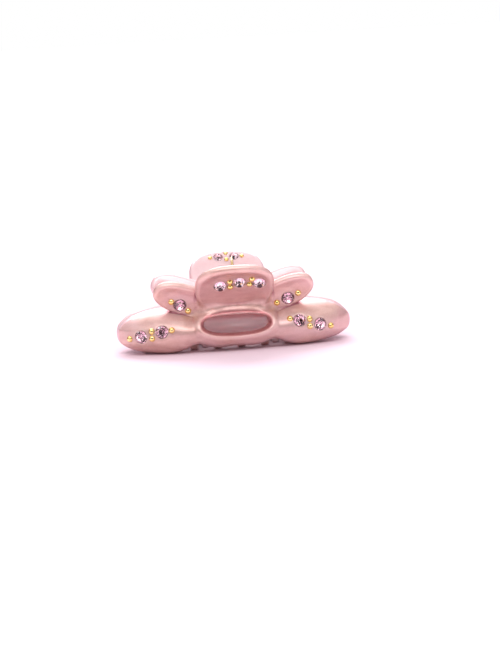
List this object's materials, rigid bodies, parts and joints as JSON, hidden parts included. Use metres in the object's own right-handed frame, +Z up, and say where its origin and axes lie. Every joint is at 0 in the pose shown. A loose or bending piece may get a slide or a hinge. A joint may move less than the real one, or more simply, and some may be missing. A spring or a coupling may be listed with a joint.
{
  "type": "hair claw clip",
  "caption": "Small claw hair clip: two petal-handled pearl plastic jaws with curved interlocking teeth on a sprung hinge pin, set with crystals and gold beads.",
  "frame": {"origin": "on the surface that the closed clip stands on, under the middle of the hinge pin", "axes": "+X along the hinge pin, +Z up from the teeth towards the handles; the jaw with the oval window faces -Y"},
  "size_m": [0.0596, 0.0316, 0.0225],
  "materials": {
    "pearl_plastic": "pearlescent satin gloss",
    "crystal": "faceted, foil backed",
    "gold_metal": "polished"
  },
  "bodies": {
    "back_half": {"back_left_wing_bead_1": "gold_metal", "back_left_wing_stone_1": "crystal", "back_left_wing_bead_2": "gold_metal", "back_left_wing_bead_3": "gold_metal", "back_left_wing_stone_2": "crystal", "back_left_wing_bead_4": "gold_metal", "back_right_wing_bead_1": "gold_metal", "back_right_wing_stone_1": "crystal", "back_right_wing_bead_2": "gold_metal", "back_right_wing_bead_3": "gold_metal", "back_right_wing_stone_2": "crystal", "back_right_wing_bead_4": "gold_metal", "back_left_petal_bead_1": "gold_metal", "back_left_petal_stone_1": "crystal", "back_left_petal_bead_2": "gold_metal", "back_right_petal_bead_1": "gold_metal", "back_right_petal_stone_1": "crystal", "back_right_petal_bead_2": "gold_metal", "back_centre_petal_stone_1": "crystal", "back_centre_petal_bead_1": "gold_metal", "back_centre_petal_bead_2": "gold_metal", "back_centre_petal_stone_2": "crystal", "back_centre_petal_bead_3": "gold_metal", "back_centre_petal_bead_4": "gold_metal", "back_centre_petal_stone_3": "crystal", "back_tip_bead_1": "gold_metal", "back_tip_stone_1": "crystal", "back_tip_bead_2": "gold_metal", "back_tip_bead_3": "gold_metal", "back_tip_stone_2": "crystal", "back_tip_bead_4": "gold_metal", "back_jaw": "pearl_plastic", "hinge_pin": "gold_metal", "torsion_spring": "gold_metal"},
    "front_half": {"front_left_wing_bead_1": "gold_metal", "front_left_wing_stone_1": "crystal", "front_left_wing_bead_2": "gold_metal", "front_left_wing_bead_3": "gold_metal", "front_left_wing_stone_2": "crystal", "front_left_wing_bead_4": "gold_metal", "front_right_wing_bead_1": "gold_metal", "front_right_wing_stone_1": "crystal", "front_right_wing_bead_2": "gold_metal", "front_right_wing_bead_3": "gold_metal", "front_right_wing_stone_2": "crystal", "front_right_wing_bead_4": "gold_metal", "front_left_petal_bead_1": "gold_metal", "front_left_petal_stone_1": "crystal", "front_left_petal_bead_2": "gold_metal", "front_right_petal_bead_1": "gold_metal", "front_right_petal_stone_1": "crystal", "front_right_petal_bead_2": "gold_metal", "front_centre_petal_stone_1": "crystal", "front_centre_petal_bead_1": "gold_metal", "front_centre_petal_bead_2": "gold_metal", "front_centre_petal_stone_2": "crystal", "front_centre_petal_bead_3": "gold_metal", "front_centre_petal_bead_4": "gold_metal", "front_centre_petal_stone_3": "crystal", "front_jaw": "pearl_plastic"}
  },
  "joints": [
    {"name": "jaw_hinge", "type": "hinge", "parent": "back_half", "child": "front_half", "pos_m": [0, 0, 0.013], "axis": [-1, 0, 0], "range_deg": [0, 60], "stiffness_Nm_per_rad": 0.03, "springref_deg": -57.3, "deforming": ["torsion_spring"]}
  ]
}
